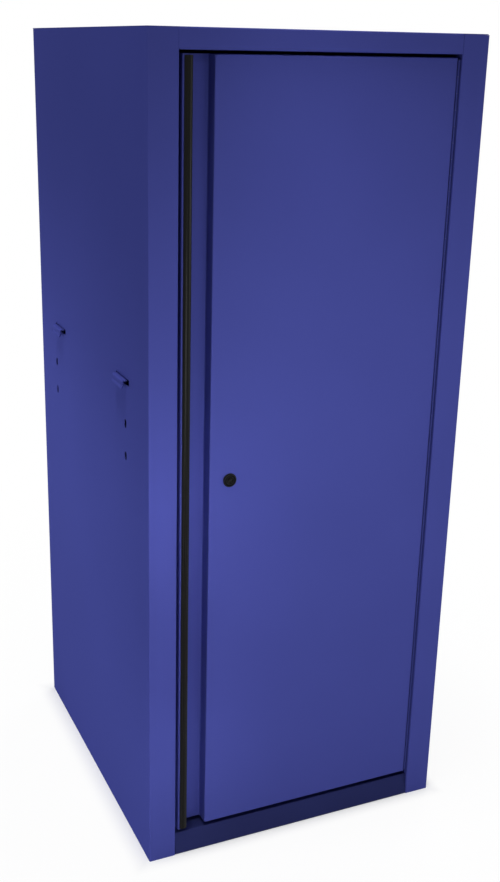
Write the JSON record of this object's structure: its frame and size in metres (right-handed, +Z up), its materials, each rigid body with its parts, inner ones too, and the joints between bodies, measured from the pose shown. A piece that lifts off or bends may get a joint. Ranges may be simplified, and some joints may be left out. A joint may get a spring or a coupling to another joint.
{
  "type": "tool chest side locker",
  "caption": "Tall folded-steel locker that hangs on the side of a tool chest, with one inset door, a full-height finger pull, a key lock and adjustable shelves.",
  "frame": {"origin": "under the middle of the whole locker, hooks included, on the floor plane", "axes": "+Z up, the door faces -Y, the hooks are on the -X side and the door's hinge is on the +X side"},
  "size_m": [0.5734, 0.62, 1.372],
  "materials": {
    "blue_paint": "semi-gloss powder coat",
    "rail_paint": "matt powder coat",
    "black_trim": "satin-gloss extrusion",
    "lock_black": "black-plated die casting",
    "zinc_plate": "bright zinc plate",
    "catch_plastic": "moulded, fine grain"
  },
  "bodies": {
    "cabinet": {"left_side_panel": "blue_paint", "right_side_panel": "blue_paint", "back_panel": "blue_paint", "top_panel": "blue_paint", "floor_panel": "blue_paint", "hanging_hook_front": "blue_paint", "hanging_hook_rear": "blue_paint", "hinge_frame_leaf": "blue_paint", "shelf_lower": "blue_paint", "shelf_middle": "blue_paint", "shelf_upper": "blue_paint", "bottom_rail": "rail_paint", "shelf_standard_left_front": "zinc_plate", "shelf_standard_left_rear": "zinc_plate", "shelf_standard_right_front": "zinc_plate", "shelf_standard_right_rear": "zinc_plate", "shelf_clip_lower_left_front": "zinc_plate", "shelf_clip_lower_left_rear": "zinc_plate", "shelf_clip_lower_right_front": "zinc_plate", "shelf_clip_lower_right_rear": "zinc_plate", "shelf_clip_middle_left_front": "zinc_plate", "shelf_clip_middle_left_rear": "zinc_plate", "shelf_clip_middle_right_front": "zinc_plate", "shelf_clip_middle_right_rear": "zinc_plate", "shelf_clip_upper_left_front": "zinc_plate", "shelf_clip_upper_left_rear": "zinc_plate", "shelf_clip_upper_right_front": "zinc_plate", "shelf_clip_upper_right_rear": "zinc_plate", "lock_strike": "zinc_plate", "hinge_pin": "zinc_plate", "magnet_catch_upper": "catch_plastic", "magnet_catch_lower": "catch_plastic"},
    "door": {"door_skin": "blue_paint", "door_stiffener": "blue_paint", "handle_trim": "black_trim", "lock_body": "lock_black", "lock_nut": "zinc_plate", "catch_plate_upper": "zinc_plate", "catch_plate_lower": "zinc_plate", "hinge_door_leaf": "blue_paint"},
    "lock": {"lock_plug": "lock_black", "lock_cam": "zinc_plate", "cam_screw": "zinc_plate"}
  },
  "joints": [
    {"name": "door_swing", "type": "hinge", "parent": "cabinet", "child": "door", "pos_m": [0.2371, -0.3045, 0.692], "axis": [0, 0, 1], "range_deg": [0, 110]},
    {"name": "lock_turn", "type": "hinge", "parent": "door", "child": "lock", "pos_m": [-0.1383, -0.29, 0.688], "axis": [0, 1, 0], "range_deg": [0, 90]}
  ]
}
